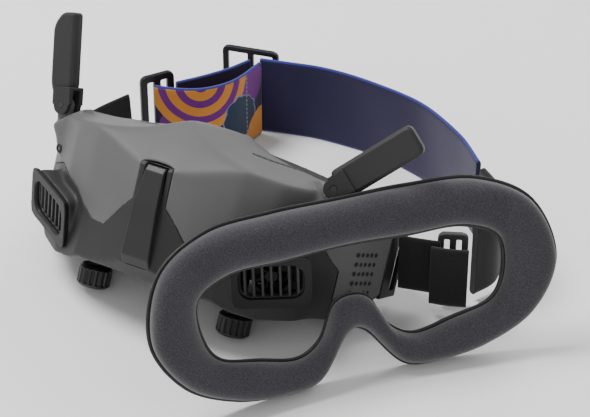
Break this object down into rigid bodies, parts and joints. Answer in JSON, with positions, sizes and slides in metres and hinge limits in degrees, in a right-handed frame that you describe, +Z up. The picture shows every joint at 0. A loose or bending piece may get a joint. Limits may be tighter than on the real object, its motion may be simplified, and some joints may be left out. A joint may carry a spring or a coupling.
{
  "type": "video goggles",
  "caption": "Head-worn video goggles with folding antennas, focus knobs, fan vents, head strap and a detached foam face pad.",
  "frame": {"origin": "on the floor under the middle of the whole part's box", "axes": "+Z up from the surface it stands on, the goggles' front towards -Y, the wearer's left towards +X; the goggles stand nose-up by 26.6 degrees on their knobs and face frame"},
  "size_m": [0.2405, 0.225, 0.1047],
  "materials": {
    "shell_grey": "fine satin spark texture",
    "housing_dark": "fine satin spark texture",
    "strip_dark": "satin",
    "black_plastic": "satin",
    "antenna_dark": "satin",
    "mesh_black": "fine woven mesh",
    "steel": "turned",
    "aluminium": "milled",
    "board_green": "solder mask",
    "lens_glass": "coated",
    "panel_glass": "polished",
    "brass": "gold plated contacts",
    "foam_cloth": "knit faced foam",
    "backing_black": "matt",
    "hook_tape": "moulded hooks",
    "band_indigo": "woven elastic",
    "band_print": "printed woven elastic",
    "webbing_black": "woven webbing"
  },
  "bodies": {
    "goggles": {"top_shell": "shell_grey", "lower_housing": "housing_dark", "center_strip": "strip_dark", "shell_screws": "steel", "guide_rods": "steel", "optics_chassis": "black_plastic", "main_board": "board_green", "heat_sink": "aluminium", "face_frame": "black_plastic", "hook_tape": "hook_tape", "proximity_window": "panel_glass", "frame_screws": "steel", "power_socket": "steel", "audio_socket": "brass", "card_slot": "black_plastic", "strap_band": "band_indigo", "strap_printed_layer": "band_print", "strap_inner_layer": "band_indigo", "strap_slider": "black_plastic", "strap_rear_pad": "webbing_black", "webbing_left": "webbing_black", "strap_hook_left": "black_plastic", "webbing_right": "webbing_black", "slider_right": "black_plastic", "webbing_tail_right": "webbing_black", "vent_bezel_left": "housing_dark", "vent_grille_left": "black_plastic", "fan_housing_left": "black_plastic", "top_vent_mesh_left": "mesh_black", "antenna_pin_left": "steel", "strap_anchor_left": "black_plastic", "vent_bezel_right": "housing_dark", "vent_grille_right": "black_plastic", "fan_housing_right": "black_plastic", "top_vent_mesh_right": "mesh_black", "antenna_pin_right": "steel", "strap_anchor_right": "black_plastic"},
    "fan_left": {"fan_rotor_left": "black_plastic"},
    "optics_left": {"lens_carriage_left": "black_plastic", "display_panel_left": "panel_glass"},
    "eyepiece_left": {"lens_cell_left": "black_plastic", "eyepiece_lens_left": "lens_glass"},
    "focus_left": {"focus_knob_left": "black_plastic", "knob_shaft_left": "steel"},
    "antenna_left": {"antenna_base_left": "antenna_dark", "antenna_paddle_left": "antenna_dark"},
    "fan_right": {"fan_rotor_right": "black_plastic"},
    "optics_right": {"lens_carriage_right": "black_plastic", "display_panel_right": "panel_glass"},
    "eyepiece_right": {"lens_cell_right": "black_plastic", "eyepiece_lens_right": "lens_glass"},
    "focus_right": {"focus_knob_right": "black_plastic", "knob_shaft_right": "steel"},
    "antenna_right": {"antenna_base_right": "antenna_dark", "antenna_paddle_right": "antenna_dark"},
    "link_button": {"link_button": "black_plastic"},
    "face_pad": {"face_pad_foam": "foam_cloth", "face_pad_backing": "backing_black"}
  },
  "joints": [
    {"name": "fan_spin_left", "type": "hinge", "parent": "goggles", "child": "fan_left", "pos_m": [-0.08583, -0.04088, 0.03637], "axis": [-0.5022, -0.8581, 0.107], "continuous": true},
    {"name": "eye_spacing_left", "type": "slide", "parent": "goggles", "child": "optics_left", "axis": [-1, 0, 0], "range_m": [-0.0073, 0.0007]},
    {"name": "focus_turn_left", "type": "hinge", "parent": "optics_left", "child": "focus_left", "pos_m": [-0.0698, -0.0446, 0.00754], "axis": [0, 0.4473, 0.8944], "range_deg": [-150, 150]},
    {"name": "focus_slide_left", "type": "slide", "parent": "optics_left", "child": "eyepiece_left", "axis": [0, 0.8944, -0.4473], "range_m": [-0.002, 0.002]},
    {"name": "antenna_fold_left", "type": "hinge", "parent": "goggles", "child": "antenna_left", "pos_m": [-0.101, -0.01432, 0.06787], "axis": [-0.2079, -0.8748, 0.4375], "range_deg": [-22, 100]},
    {"name": "fan_spin_right", "type": "hinge", "parent": "goggles", "child": "fan_right", "pos_m": [0.01683, -0.04088, 0.03637], "axis": [0.5022, -0.8581, 0.107], "continuous": true},
    {"name": "eye_spacing_right", "type": "slide", "parent": "goggles", "child": "optics_right", "axis": [1, 0, 0], "range_m": [-0.0073, 0.0007]},
    {"name": "focus_turn_right", "type": "hinge", "parent": "optics_right", "child": "focus_right", "pos_m": [0.0008, -0.0446, 0.00754], "axis": [0, 0.4473, 0.8944], "range_deg": [-150, 150]},
    {"name": "focus_slide_right", "type": "slide", "parent": "optics_right", "child": "eyepiece_right", "axis": [0, 0.8944, -0.4473], "range_m": [-0.002, 0.002]},
    {"name": "antenna_fold_right", "type": "hinge", "parent": "goggles", "child": "antenna_right", "pos_m": [0.032, -0.01432, 0.06787], "axis": [-0.2079, 0.8748, -0.4375], "range_deg": [-55, 2]},
    {"name": "link_press", "type": "slide", "parent": "goggles", "child": "link_button", "axis": [0, 0.4473, 0.8944], "range_m": [0, 0.0008], "stiffness_N_per_m": 300},
    {"name": "pad_lift_off", "type": "slide", "parent": "goggles", "child": "face_pad", "axis": [0.765, -0.644, 0], "range_m": [0, 0.06]}
  ],
  "couplings": [
    {"joint": "focus_turn_left", "follows": "focus_slide_left", "rad_per_m": 1300},
    {"joint": "focus_turn_right", "follows": "focus_slide_right", "rad_per_m": 1300}
  ]
}
